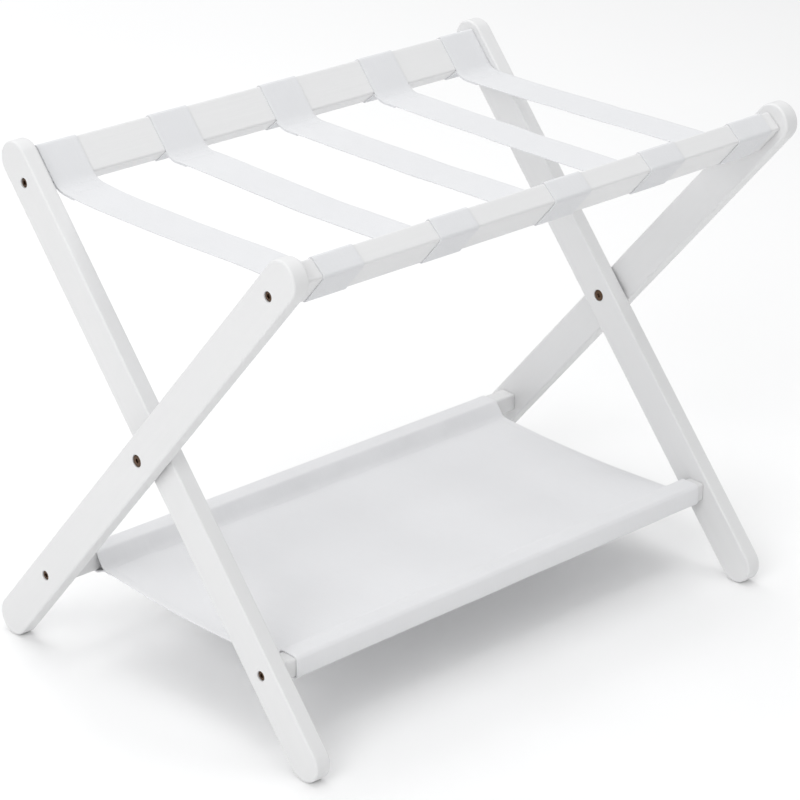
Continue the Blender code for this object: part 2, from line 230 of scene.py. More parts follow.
def spread(tree, value, low, high):
    """A value from 0 to 1 moved to lie between low and high."""
    return add(tree, "MapRange", None, Value=value, To_Min=low, To_Max=high).outputs[0]


def blend_colours(tree, share, first, second):
    mix = add(tree, "Mix", {"data_type": "RGBA"}, i0=share)
    mix.inputs[6].default_value = (*first, 1.0)
    mix.inputs[7].default_value = (*second, 1.0)
    return mix.outputs[2]


def bump(tree, height, distance, strength=1.0, under=None):
    node = add(tree, "Bump", None, Height=height, Distance=distance, Strength=strength)
    if under is not None:
        tree.links.new(under, node.inputs["Normal"])
    return node.outputs[0]


def object_place(tree, stretch):
    """Object coordinates squeezed along the axes in stretch, for grain that runs lengthways."""
    place = add(tree, "TexCoord").outputs["Object"]
    return add(tree, "Mapping", None, Vector=place, Scale=stretch).outputs[0]


# ---------------------------------------------------------------------------------------------
# Materials


def painted_wood(name, long_axis):
    """Satin white paint with the grain, the brush lines and a fine orange peel showing."""
    material, tree, shader = new_material(name)
    along = [1.0, 1.0, 1.0]
    along[long_axis] = 0.03
    grained = object_place(tree, along)
    plain = object_place(tree, (1.0, 1.0, 1.0))
    grain = noise(tree, grained, 190.0, 5.0, 0.62)
    brush = noise(tree, grained, 700.0, 2.0)
    peel = noise(tree, plain, 1100.0, 2.0)
    clouds = noise(tree, plain, 7.0, 3.0)
    streaks = calc(tree, "MULTIPLY", grain, 0.45)
    tone = calc(tree, "ADD", calc(tree, "MULTIPLY", clouds, 0.55), streaks)
    colour = blend_colours(tree, tone, (0.725, 0.725, 0.73), (0.78, 0.78, 0.78))
    tree.links.new(colour, shader.inputs["Base Color"])
    tree.links.new(spread(tree, brush, 0.36, 0.56), shader.inputs["Roughness"])
    under = bump(tree, grain, 0.00034, 0.85)
    under = bump(tree, brush, 0.00006, 0.7, under)
    tree.links.new(bump(tree, peel, 0.00003, 0.8, under), shader.inputs["Normal"])
    shader.inputs["Specular IOR Level"].default_value = 0.45
    shader.inputs["Coat Weight"].default_value = 0.08
    shader.inputs["Coat Roughness"].default_value = 0.28
    return material


def woven(name, pitch_u, pitch_v, chevron, depth, dark, light):
    """Cloth whose yarns follow the weave attribute: metres across the cloth and along it.

    The pitches are one yarn across and along, chevron is the number of yarns after which a
    herringbone turns back, or 0 for none, and depth is how far the yarns stand out.
    """
    material, tree, shader = new_material(name)
    place = add(tree, "Attribute", {"attribute_name": "weave"}).outputs["Vector"]
    parts = add(tree, "SeparateXYZ", None, Vector=place)
    across = calc(tree, "DIVIDE", parts.outputs[0], pitch_u)
    along = calc(tree, "DIVIDE", parts.outputs[1], pitch_v)
    if chevron:
        slant = calc(tree, "PINGPONG", across, chevron)
        along = calc(tree, "ADD", along, calc(tree, "MULTIPLY", slant, 0.5))
    wander = noise(tree, place, 160.0, 2.0)
    along = calc(tree, "ADD", along, calc(tree, "MULTIPLY", wander, 0.7))
    ridge_u = calc(tree, "ABSOLUTE", calc(tree, "SINE", calc(tree, "MULTIPLY", across, math.pi)))
    ridge_v = calc(tree, "ABSOLUTE", calc(tree, "SINE", calc(tree, "MULTIPLY", along, math.pi)))
    yarn = calc(tree, "SQRT", calc(tree, "MULTIPLY", ridge_u, ridge_v))
    fuzz = noise(tree, place, 2600.0, 2.0)
    slubs = noise(tree, add(tree, "Mapping", None, Vector=place, Scale=(1.0, 0.06, 1.0)).outputs[0],
                  520.0, 3.0)
    clouds = noise(tree, place, 14.0, 3.0)
    tone = calc(tree, "ADD", calc(tree, "MULTIPLY", yarn, 0.5), calc(tree, "MULTIPLY", slubs, 0.28))
    tone = calc(tree, "ADD", tone, calc(tree, "MULTIPLY", clouds, 0.3))
    tree.links.new(blend_colours(tree, tone, dark, light), shader.inputs["Base Color"])
    tree.links.new(spread(tree, fuzz, 0.78, 0.95), shader.inputs["Roughness"])
    height = calc(tree, "ADD", yarn, calc(tree, "MULTIPLY", slubs, 0.5))
    under = bump(tree, height, depth, 0.9)
    tree.links.new(bump(tree, fuzz, depth / 4, 0.6, under), shader.inputs["Normal"])
    shader.inputs["Specular IOR Level"].default_value = 0.2
    shader.inputs["Sheen Weight"].default_value = 0.25
    shader.inputs["Sheen Roughness"].default_value = 0.5
    return material


def plated_metal(name, low, high, roughness):
    """Turned and plated metal, with fine marks and a mottled tone."""
    material, tree, shader = new_material(name)
    place = object_place(tree, (1.0, 1.0, 1.0))
    mottle = noise(tree, place, 420.0, 4.0, 0.6)
    marks = noise(tree, place, 2600.0, 2.0)
    tree.links.new(blend_colours(tree, mottle, low, high), shader.inputs["Base Color"])
    shine = spread(tree, marks, roughness - 0.08, roughness + 0.12)
    tree.links.new(shine, shader.inputs["Roughness"])
    tree.links.new(bump(tree, marks, 0.00004, 0.6), shader.inputs["Normal"])
    shader.inputs["Metallic"].default_value = 1.0
    return material


def bare_beech(name):
    material, tree, shader = new_material(name)
    fibres = noise(tree, object_place(tree, (0.05, 1.0, 1.0)), 900.0, 4.0)
    colour = blend_colours(tree, fibres, (0.56, 0.38, 0.22), (0.78, 0.60, 0.40))
    tree.links.new(colour, shader.inputs["Base Color"])
    tree.links.new(bump(tree, fibres, 0.00008, 0.7), shader.inputs["Normal"])
    shader.inputs["Roughness"].default_value = 0.7
    return material


def moulded_nylon(name):
    material, tree, shader = new_material(name)
    grain = noise(tree, object_place(tree, (1.0, 1.0, 1.0)), 1500.0, 3.0)
    colour = blend_colours(tree, grain, (0.018, 0.018, 0.019), (0.035, 0.035, 0.036))
    tree.links.new(colour, shader.inputs["Base Color"])
    tree.links.new(bump(tree, grain, 0.00003, 0.5), shader.inputs["Normal"])
    shader.inputs["Roughness"].default_value = 0.5
    return material


LEG_PAINT = painted_wood("leg_paint", long_axis=1)
RAIL_PAINT = painted_wood("rail_paint", long_axis=0)
WEBBING = woven("webbing", pitch_u=0.0013, pitch_v=0.0010, chevron=4.0, depth=0.00016,
                dark=(0.685, 0.69, 0.705), light=(0.775, 0.78, 0.795))
CANVAS = woven("canvas", pitch_u=0.0008, pitch_v=0.0008, chevron=0.0, depth=0.00016,
               dark=(0.77, 0.772, 0.785), light=(0.865, 0.867, 0.88))
THREAD_WHITE = woven("thread", pitch_u=0.0004, pitch_v=0.0004, chevron=0.0, depth=0.00006,
                     dark=(0.74, 0.745, 0.76), light=(0.86, 0.865, 0.88))
BRONZE = plated_metal("antique_bronze", low=(0.055, 0.034, 0.024), high=(0.17, 0.105, 0.068),
                      roughness=0.38)
ZINC = plated_metal("zinc_plate", low=(0.50, 0.50, 0.51), high=(0.66, 0.66, 0.67), roughness=0.36)
BEECH = bare_beech("bare_beech")
NYLON = moulded_nylon("black_nylon")


# ---------------------------------------------------------------------------------------------
# Mesh helpers


def new_object(name, mesh, material):
    obj = bpy.data.objects.new(name, mesh)
    bpy.context.scene.collection.objects.link(obj)
    if material:
        mesh.materials.append(material)
    return obj


def shade(mesh, sharp_angle):
    for polygon in mesh.polygons:
        polygon.use_smooth = True
    mesh.set_sharp_from_angle(angle=sharp_angle)


def ring_mesh(name, rings, capped=True):
    """A mesh from rings of points, each ring joined to the next and every ring closed."""
    count = len(rings[0])
    verts = [tuple(point) for ring in rings for point in ring]
    faces = []
    for row in range(len(rings) - 1):
        for column in range(count):
            after = (column + 1) % count
            faces.append((row * count + column, row * count + after,
                          (row + 1) * count + after, (row + 1) * count + column))
    if capped:
        faces.append(tuple(reversed(range(count))))
        faces.append(tuple(range((len(rings) - 1) * count, len(rings) * count)))
    mesh = bpy.data.meshes.new(name)
    mesh.from_pydata(verts, [], faces)
    return mesh


def face_outwards(mesh):
    shape = bmesh.new()
    shape.from_mesh(mesh)
    bmesh.ops.recalc_face_normals(shape, faces=shape.faces)
    shape.to_mesh(mesh)
    shape.free()


def turned_mesh(name, profile, closed=False):
    """A solid of revolution about Z from (radius, height) points; a radius of 0 is a pole."""
    rings = []
    for radius, height in profile:
        ring = []
        for step in range(ROUND_STEPS):
            angle = 2 * math.pi * step / ROUND_STEPS
            ring.append((radius * math.cos(angle), radius * math.sin(angle), height))
        rings.append(ring)
    if closed:
        rings.append(rings[0])
    mesh = ring_mesh(name, rings, capped=False)
    shape = bmesh.new()
    shape.from_mesh(mesh)
    bmesh.ops.remove_doubles(shape, verts=shape.verts, dist=SAME_PLACE)
    bmesh.ops.recalc_face_normals(shape, faces=shape.faces)
    shape.to_mesh(mesh)
    shape.free()
    return mesh


def carve(obj, cutters):
    """Cut each cutter out of obj, apply the result and remove the cutters."""
    for cutter in cutters:
        modifier = obj.modifiers.new(cutter.name, "BOOLEAN")
        modifier.operation = "DIFFERENCE"
        modifier.solver = "EXACT"
        modifier.object = cutter
    bpy.context.view_layer.update()
    graph = bpy.context.evaluated_depsgraph_get()
    carved = bpy.data.meshes.new_from_object(obj.evaluated_get(graph))
    obj.modifiers.clear()
    obj.data = carved
    for cutter in cutters:
        bpy.data.objects.remove(cutter, do_unlink=True)


def even_out(obj):
    """Normals weighted by face area, so that flats stay flat beside their rounded edges."""
    modifier = obj.modifiers.new("normals", "WEIGHTED_NORMAL")
    modifier.keep_sharp = True


# ---------------------------------------------------------------------------------------------
# Wooden frames


def frame_matrix(is_outer):
    """From frame-local axes to the row frame: the outer frame is turned half round about Z."""
    turn = Matrix.Rotation(math.pi if is_outer else 0.0, 4, "Z")
    return Matrix.Translation(PIVOT) @ turn @ Matrix.Rotation(LEG_ANGLE, 4, "X")


def hole_cutter(name, steps, x, y, side):
    """A stepped round cutter along X; steps are (radius, depth), outermost first."""
    beyond = 0.002
    mouth = steps[0][0]
    profile = [(0.0, beyond), (mouth + HOLE_LIP + beyond, beyond), (mouth, -HOLE_LIP)]
    for index, (radius, depth) in enumerate(steps):
        if index:
            profile.append((radius, -steps[index - 1][1]))
        profile.append((radius, -depth))
    profile.append((0.0, -steps[-1][1]))
    cutter = new_object(name, turned_mesh(name, profile), None)
    cutter.matrix_world = (Matrix.Translation((x, y, 0.0))
                           @ Matrix.Rotation(side * math.pi / 2, 4, "Y"))
    return cutter


def leg_outline(radius):
    points = []
    for centre, start in ((LEG_TOP, -math.pi / 2), (LEG_BOTTOM, math.pi / 2)):
        for step in range(END_STEPS + 1):
            angle = start + math.pi * step / END_STEPS
            points.append((centre + radius * math.cos(angle), radius * math.sin(angle)))
    return points


def eased_rings(outline, half_depth, edge):
    """Rings of an outline swept along X, with its two faces' edges rounded."""
    rings = []
    for end in (-1, 1):
        steps = range(CORNER_STEPS + 1)
        for step in steps if end < 0 else reversed(steps):
            angle = math.pi / 2 * step / CORNER_STEPS
            inset = edge * (1 - math.sin(angle))
            x = end * (half_depth - edge * (1 - math.cos(angle)))
            rings.append([(x, y, z) for y, z in outline(inset)])
    return rings


def leg(end, is_outer):
    kind = "outer" if is_outer else "inner"
    node = f"{kind}_leg_{end}"
    low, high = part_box(node)
    centre_x = (low.x + high.x) / 2
    half = (high.x - low.x) / 2
    rings = eased_rings(lambda inset: leg_outline(LEG_WIDTH / 2 - inset), half, EASED_EDGE)
    mesh = ring_mesh(node + "_wood", rings)
    face_outwards(mesh)
    obj = new_object("wood_" + node, mesh, LEG_PAINT)
    outwards = math.copysign(1.0, centre_x) * (-1 if is_outer else 1)
    through = 2 * half + HOLE_OVERRUN
    rail_hole = [(RAIL_HEAD + FIT_GAP, RAIL_HEAD_BASE + FIT_GAP), (SHANK + FIT_GAP, through)]
    cutters = [hole_cutter("cut_top", rail_hole, outwards * half, TOP_BOLT, outwards),
               hole_cutter("cut_low", rail_hole, outwards * half, LOW_RAIL, outwards)]
    if is_outer:
        seat = PIVOT_HEAD_BASE + FIT_GAP
        pivot_hole = [(PIVOT_HEAD + FIT_GAP, seat), (SHANK + FIT_GAP, through)]
        cutters.append(hole_cutter("cut_pivot", pivot_hole, outwards * half, 0.0, outwards))
    else:
        seat = PIVOT_STACK - NUT_FLANGE_BASE + FIT_GAP
        pivot_hole = [(PIVOT_HEAD + FIT_GAP, seat), (NUT_BARREL + RUNNING_GAP, through)]
        cutters.append(hole_cutter("cut_pivot", pivot_hole, -outwards * half, 0.0, -outwards))
    dowel_hole = [(DOWEL_HOLE, DOWEL_HOLE_IN_LEG)]
    cutters.append(hole_cutter("cut_dowel", dowel_hole, -outwards * half, TOP_DOWEL, -outwards))
    carve(obj, cutters)
    shade(obj.data, SOLID_SHARP)
    even_out(obj)
    local_x = -centre_x if is_outer else centre_x
    obj.matrix_world = frame_matrix(is_outer) @ Matrix.Translation((local_x, 0.0, 0.0))
    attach(obj, kind + "_frame")
    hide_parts(node)


def bar_outline(half_y, half_z, radius):
    points = []
    for corner in range(4):
        angle = corner * math.pi / 2
        centre_y = (half_y - radius) * (1 if corner in (0, 3) else -1)
        centre_z = (half_z - radius) * (1 if corner in (0, 1) else -1)
        for step in range(CORNER_STEPS + 1):
            turn = angle + math.pi / 2 * step / CORNER_STEPS
            points.append((centre_y + radius * math.cos(turn), centre_z + radius * math.sin(turn)))
    return points


def rail(node, is_outer, halves, along, tilt, holes):
    """A straight bar between two legs; holes are (place from the bar's middle, radius, depth)."""
    low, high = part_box(node)
    half_length = (high.x - low.x) / 2
    outline = bar_outline(halves[0], halves[1], EASED_EDGE)

    def inset_outline(inset):
        share_y = (halves[0] - inset) / halves[0]
        share_z = (halves[1] - inset) / halves[1]
        return [(y * share_y, z * share_z) for y, z in outline]

    mesh = ring_mesh(node + "_wood", eased_rings(inset_outline, half_length, RAIL_END_ARRIS))
    face_outwards(mesh)
    obj = new_object("wood_" + node, mesh, RAIL_PAINT)
    cutters = []
    for side in (-1, 1):
        for index, (place, radius, depth) in enumerate(holes):
            name = f"cut_{side}_{index}"
            cutters.append(hole_cutter(name, [(radius, depth)], side * half_length, place, side))
    carve(obj, cutters)
    shade(obj.data, SOLID_SHARP)
    even_out(obj)
    obj.matrix_world = (frame_matrix(is_outer) @ Matrix.Translation((0.0, along, 0.0))
                        @ Matrix.Rotation(tilt, 4, "X"))
    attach(obj, "outer_frame" if is_outer else "inner_frame")
    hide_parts(node)


# ---------------------------------------------------------------------------------------------
# Hardware


def along_x(obj, is_outer, x, y, side):
    """Stand a turned piece on a frame with its own +Z pointing outwards."""
    obj.matrix_world = (frame_matrix(is_outer) @ Matrix.Translation((x, y, 0.0))
                        @ Matrix.Rotation(side * math.pi / 2, 4, "Y"))


def socket_cutter(across_flats, top, bottom):
    """A hexagon with a flared mouth and a drilled point below it."""
    radius = across_flats / 2 / math.cos(math.pi / 6)
    above = 0.0002
    mouth = radius * 1.25
    point = radius * 0.2
    rings = []
    for size, height in ((mouth, top + above), (radius, top - SOCKET_CHAMFER), (radius, bottom),
                         (point, bottom - SOCKET_POINT)):
        ring = []
        for step in range(6):
            angle = math.pi / 3 * step
            ring.append((size * math.cos(angle), size * math.sin(angle), height))
        rings.append(ring)
    mesh = ring_mesh("socket", rings)
    face_outwards(mesh)
    return new_object("socket", mesh, None)


def crowned_head(radius, top, base, edge):
    """Profile of a low round head: a slight crown, a rounded rim and a straight side."""
    flat = radius * 0.55
    steps = 4
    profile = [(0.0, top), (flat, top), (radius - edge, top - HEAD_CROWN)]
    for step in range(1, steps + 1):
        angle = math.pi / 2 * step / steps
        profile.append((radius - edge + edge * math.sin(angle),
                        top - HEAD_CROWN - edge * (1 - math.cos(angle))))
    profile.append((radius, base))
    return profile


def hardware(node, profile, material, is_outer, x, side, y=0.0, socket=None,
             closed=False):
    """One turned piece on a frame, in place of its node; socket is a cutter at the origin."""
    obj = new_object("fine_" + node, turned_mesh(node, profile, closed), material)
    if socket:
        carve(obj, [socket])
    shade(obj.data, SOLID_SHARP)
    along_x(obj, is_outer, x, y, side)
    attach(obj, "outer_frame" if is_outer else "inner_frame")
    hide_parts(node)


def rail_bolts(rail_node, is_outer, outside, y):
    profile = crowned_head(RAIL_HEAD, -RAIL_HEAD_TOP, -RAIL_HEAD_BASE, HEAD_ROUND)
    profile += [(SHANK, -RAIL_HEAD_BASE), (SHANK, HEAD_ROUND - RAIL_BOLT_END),
                (SHANK - HEAD_ROUND, -RAIL_BOLT_END), (0.0, -RAIL_BOLT_END)]
    for end, side in (("left", -1), ("right", 1)):
        outwards = -side if is_outer else side
        socket = socket_cutter(SOCKET_FLATS, -RAIL_HEAD_TOP, -RAIL_SOCKET_BASE)
        hardware(f"{rail_node}_bolt_{end}", profile, BRONZE, is_outer,
                 outwards * outside, outwards, y, socket)


def pivot_hardware(outside):
    """The pivot bolt's head, its sleeve nut on the inner leg, and the washer in the gap."""
    bolt = crowned_head(PIVOT_HEAD, -PIVOT_HEAD_TOP, -PIVOT_HEAD_BASE, HEAD_ROUND)
    bolt += [(SHANK, -PIVOT_HEAD_BASE), (SHANK, -PIVOT_BOLT_END), (0.0, -PIVOT_BOLT_END)]
    nut = [(NUT_BORE, -NUT_START), (NUT_BARREL, -NUT_START), (NUT_BARREL, -NUT_FLANGE_BASE),
           (PIVOT_HEAD, -NUT_FLANGE_BASE), (PIVOT_HEAD, NUT_RIM - NUT_FACE),
           (PIVOT_HEAD - NUT_RIM_SLOPE, NUT_RIM_TOP - NUT_FACE),
           (PIVOT_HEAD - HEAD_ROUND, -NUT_FACE), (0.0, -NUT_FACE), (0.0, -NUT_BORE_END),
           (NUT_BORE, -NUT_BORE_END)]
    rim = WASHER_RIM
    washer = [(WASHER_BORE, -WASHER_NEAR), (WASHER - rim, -WASHER_NEAR),
              (WASHER, -WASHER_NEAR - rim), (WASHER, rim - WASHER_FAR),
              (WASHER - rim, -WASHER_FAR), (WASHER_BORE, -WASHER_FAR)]
    for end, side in (("left", -1), ("right", 1)):
        outwards = -side
        x = outwards * outside
        socket = socket_cutter(SOCKET_FLATS, -PIVOT_HEAD_TOP, -PIVOT_SOCKET_BASE)
        hardware(f"pivot_bolt_{end}", bolt, BRONZE, True, x, outwards, socket=socket)
        socket = socket_cutter(SOCKET_FLATS, -PIVOT_HEAD_TOP, -PIVOT_SOCKET_BASE)
        # The nut faces inwards, so its socket is the bolt's turned over about the inner face.
        socket.matrix_world = (Matrix.Translation((0.0, 0.0, -PIVOT_STACK))
                               @ Matrix.Rotation(math.pi, 4, "X"))
        hardware(f"pivot_nut_{end}", nut, BRONZE, True, x, outwards, socket=socket)
        hardware(f"pivot_washer_{end}", washer, NYLON, True, x, outwards, closed=True)


# ---------------------------------------------------------------------------------------------
# Cloth


def traced(corners, step):
    """Points along straight runs with rounded corners (y, z, radius), closer on the curves."""
    points = [np.array(corners[0][:2])]
    for index in range(1, len(corners) - 1):
        here = np.array(corners[index][:2])
        into = here - np.array(corners[index - 1][:2])
        out = np.array(corners[index + 1][:2]) - here
        start_angle = math.atan2(into[1], into[0])
        turn = (math.atan2(out[1], out[0]) - start_angle + math.pi) % (2 * math.pi) - math.pi
        radius = corners[index][2]
        reach = radius * math.tan(abs(turn) / 2)
        side = math.copysign(1.0, turn)
        start = here - reach * into / np.linalg.norm(into)
        centre = start + side * radius * np.array([-math.sin(start_angle), math.cos(start_angle)])
        pieces = max(2, round(abs(turn) / CURVE_STEP))
        for piece in range(pieces + 1):
            angle = start_angle + turn * piece / pieces
            offset = side * radius * np.array([math.sin(angle), -math.cos(angle)])
            points.append(centre + offset)
    points.append(np.array(corners[-1][:2]))
    fine = [points[0]]
    for point in points[1:]:
        gap = np.linalg.norm(point - fine[-1])
        if gap < SAME_PLACE:
            continue
        start = fine[-1]
        pieces = max(1, math.ceil(gap / step))
        for piece in range(1, pieces + 1):
            fine.append(start + (point - start) * piece / pieces)
    return np.array(fine)


class Cloth:
    """A path in the YZ plane swept along X: where a point of the cloth is, and its mesh."""

    def __init__(self, corners, centre_x, step, drop, bulge):
        """centre_x is the cloth's middle as a function of y."""
        self.points = traced(corners, step)
        gaps = np.linalg.norm(np.diff(self.points, axis=0), axis=1)
        self.run = np.concatenate([[0.0], np.cumsum(gaps)])
        tangent = np.gradient(self.points, self.run, axis=0)
        tangent /= np.linalg.norm(tangent, axis=1)[:, None]
        self.normal = np.stack([-tangent[:, 1], tangent[:, 0]], axis=1)
        self.centre_x = centre_x
        self.drop = drop
        self.bulge = bulge

    @property
    def length(self):
        return float(self.run[-1])

    def length_to(self, y):
        """How far along the cloth's upper ply is at y, from the start of the cloth."""
        middle = int(np.argmin(np.abs(self.run - self.length / 2)))
        step = 1 if y > 0 else -1
        index = middle
        while abs(self.points[index, 0]) < abs(y):
            index += step
        return float(self.run[index])

    def place(self, across, along, height):
        """Row-frame points for metres across and along the cloth, and height off its middle."""
        across, along, height = np.broadcast_arrays(across, along, height)
        y = np.interp(along, self.run, self.points[:, 0])
        z = np.interp(along, self.run, self.points[:, 1])
        normal_y = np.interp(along, self.run, self.normal[:, 0])
        normal_z = np.interp(along, self.run, self.normal[:, 1])
        size = np.hypot(normal_y, normal_z)
        lift = (height + self.bulge(across, along)) / size
        y_out = y + normal_y * lift
        z_out = z + normal_z * lift - self.drop(across, y)
        return np.stack([self.centre_x(y) + across, y_out, z_out], axis=-1)

    def mesh(self, name, section):
        """The closed mesh of the cloth; section is (across, height) round its cut edge."""
        across = np.array([point[0] for point in section])
        height = np.array([point[1] for point in section])
        grid = self.place(across[None, :], self.run[:, None], height[None, :])
        mesh = ring_mesh(name, grid)
        face_outwards(mesh)
        weave = np.zeros((len(self.run), len(section), 3), np.float32)
        weave[:, :, 0] = across[None, :]
        weave[:, :, 1] = self.run[:, None]
        attribute = mesh.attributes.new("weave", "FLOAT_VECTOR", "POINT")
        attribute.data.foreach_set("vector", weave.ravel())
        shade(mesh, CLOTH_SHARP)
        return mesh


def cut_edge(width, columns, half_thickness):
    """The section across a cloth: two faces and two softened edges, (across, height)."""
    end = width / 2
    edge = half_thickness(end)
    soft = edge * 0.45
    steps = 3
    places = np.linspace(soft - end, end - soft, columns)
    top = [(across, half_thickness(abs(across))) for across in places]
    corner = []
    for step in range(1, steps + 1):
        angle = math.pi / 2 * (1 - step / steps)
        corner.append((end - soft + soft * math.cos(angle), edge - soft + soft * math.sin(angle)))
    side = corner + [(across, -height) for across, height in reversed(corner)]
    bottom = [(across, -height) for across, height in reversed(top)]
    return top + side + bottom + [(-across, -height) for across, height in side]


def stitches(name, cloth, seams):
    """Thread lying on a cloth: seams are ((across, along) start, end, height) lines."""
    rings = 7
    sides = 6
    verts = []
    faces = []
    for start, end, height in seams:
        start = np.array(start)
        end = np.array(end)
        length = np.linalg.norm(end - start)
        count = max(1, int(length / STITCH_PITCH))
        direction = (end - start) / length
        for number in range(count):
            middle = start + direction * (number + 0.5) * length / count
            first = len(verts)
            for ring in range(rings):
                share = 2 * ring / (rings - 1) - 1
                at = middle + direction * share * STITCH_LENGTH / 2
                bury = THREAD * STITCH_DIP * abs(share) ** 4
                girth = THREAD / 2 * math.sqrt(max(STITCH_TIP, 1 - abs(share) ** 3))
                sideways = np.array([-direction[1], direction[0]])
                for side in range(sides):
                    angle = 2 * math.pi * side / sides
                    point = at + sideways * girth * math.cos(angle)
                    lift = girth * math.sin(angle) + THREAD * STITCH_LIFT - bury
                    rise = math.copysign(1.0, height) * lift
                    verts.append(cloth.place(point[0], point[1], height + rise))
            for ring in range(rings - 1):
                for side in range(sides):
                    after = (side + 1) % sides
                    low = first + ring * sides
                    faces.append((low + side, low + after, low + sides + after, low + sides + side))
            faces.append(tuple(first + side for side in reversed(range(sides))))
            last = first + (rings - 1) * sides
            faces.append(tuple(last + side for side in range(sides)))
    mesh = bpy.data.meshes.new(name)
    mesh.from_pydata([tuple(vert) for vert in verts], [], faces)
    face_outwards(mesh)
    weave = np.array(verts, np.float32)
    attribute = mesh.attributes.new("weave", "FLOAT_VECTOR", "POINT")
    attribute.data.foreach_set("vector", weave.ravel())
    shade(mesh, CLOTH_SHARP)
    return new_object(name, mesh, THREAD_WHITE)


def waves(seed, longest, count):
    """A fixed irregular wave along one axis, about 1 high, made of sines that don't repeat."""
    phase_per_seed = 12.9898
    phase_per_term = 78.233
    rate_ratio = 1.618
    weight_ratio = 0.62
    terms = []
    for term in range(count):
        phase = math.sin(seed * phase_per_seed + term * phase_per_term) * math.pi
        terms.append((2 * math.pi / longest * rate_ratio ** term, phase, weight_ratio ** term))
    total = sum(weight for _, _, weight in terms)

    def wave(value):
        height = 0.0
        for rate, phase, weight in terms:
            height = height + weight * np.sin(rate * value + phase)
        return height / total

    return wave


def on_inner_frame(along, across):
    """Row-frame (y, z) of a place along and across the inner frame's legs."""
    point = frame_matrix(False) @ Vector((0.0, along, across))
    return point.y, point.z


def mirror(corners):
    return [(-y, z, radius) for y, z, radius in reversed(corners)]


def under_ply(upper, distance, near):
    """Points below an upper ply, from the span as far as the rail's face at near along the leg."""
    tangent = np.gradient(upper, axis=0)
    tangent /= np.linalg.norm(tangent, axis=1)[:, None]
    lower = upper + distance * np.stack([tangent[:, 1], -tangent[:, 0]], axis=1)
    along = (lower[:, 0] * math.cos(LEG_ANGLE) + (lower[:, 1] - PIVOT.z) * math.sin(LEG_ANGLE))
    reached = int(np.argmax(along > near))
    share = (near - along[reached - 1]) / (along[reached] - along[reached - 1])
    meet = lower[reached - 1] + share * (lower[reached] - lower[reached - 1])
    kept = [(y, z, 0.0) for y, z in lower[:reached - 1]]
    return kept + [(meet[0], meet[1], LOWER_PLY_BEND)]


def strap(number):
    node = f"strap_{number}"
    offset = STRAP_GAP + STRAP_THICKNESS / 2
    near = TOP_RAIL - TOP_RAIL_HALF[0] - offset
    far = TOP_RAIL + TOP_RAIL_HALF[0] + offset
    out = TOP_RAIL_HALF[1] + offset
    corner = EASED_EDGE + offset
    edge_height = on_inner_frame(TOP_RAIL - TOP_RAIL_HALF[0], TOP_RAIL_HALF[1])[1]
    span_height = edge_height - SPAN_BELOW_EDGE - STRAP_THICKNESS / 2
    bend_along = (span_height - PIVOT.z - out * math.cos(LEG_ANGLE)) / math.sin(LEG_ANGLE)
    bend = (on_inner_frame(bend_along, out)[0], span_height, STRAP_FILLET)
    outer_corner = (*on_inner_frame(far, out), corner)
    upper = traced([(STRAP_OVERLAP_END, span_height, 0.0), bend, outer_corner], STRAP_FINE_STEP)
    lower = under_ply(upper, STRAP_THICKNESS + PLY_GAP, near)
    loop = [bend, outer_corner, (*on_inner_frame(far, -out), corner),
            (*on_inner_frame(near, -out), corner), *reversed(lower)]
    corners = mirror(loop) + loop
    sag = STRAP_SAGS[number - 1]
    lean = STRAP_LEANS[number - 1]
    front = STRAP_FRONTS[number - 1]
    back = STRAP_BACKS[number - 1]
    ripple = waves(seed=number, longest=0.11, count=4)
    cup = waves(seed=number + 9, longest=0.23, count=3)

    def middle_x(y):
        return (front + back) / 2 + (back - front) / 2 * np.clip(y / STRAP_FREE_END, -1.0, 1.0)

    def drop(across, y):
        share = np.clip(np.abs(y) / STRAP_FREE_END, 0.0, 1.0)
        free = (1 - share ** 2) ** 2
        curl = (across / STRAP_WIDTH) ** 2 * STRAP_CURL * cup(y)
        leaning = lean * STRAP_LEAN_GAIN * y / STRAP_FREE_END * (1 - share ** 4)
        rippled = STRAP_RIPPLE * ripple(y + across * STRAP_RIPPLE_SLANT)
        return free * (sag + curl + rippled) + leaning

    cloth = Cloth(corners, middle_x, STRAP_STEP, drop, lambda across, along: 0.0)
    section = cut_edge(STRAP_WIDTH, STRAP_COLUMNS, lambda across: STRAP_THICKNESS / 2)
    obj = new_object("webbing_" + node, cloth.mesh(node, section), WEBBING)
    half = STRAP_THICKNESS / 2
    side = STRAP_WIDTH / 2 - STRAP_MARGIN
    seams = []
    for end in (-1, 1):
        near_seam = cloth.length_to(end * (STRAP_OVERLAP_END + STRAP_BOX_START))
        far_seam = cloth.length_to(end * (STRAP_OVERLAP_END + STRAP_BOX_END))
        for at in (near_seam, far_seam):
            seams.append(((-side, at), (side, at), half))
        for across in (-side, side):
            seams.append(((across, near_seam), (across, far_seam), half))
    thread = stitches("thread_" + node, cloth, seams)
    for piece in (obj, thread):
        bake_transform(piece)
    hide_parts(node)


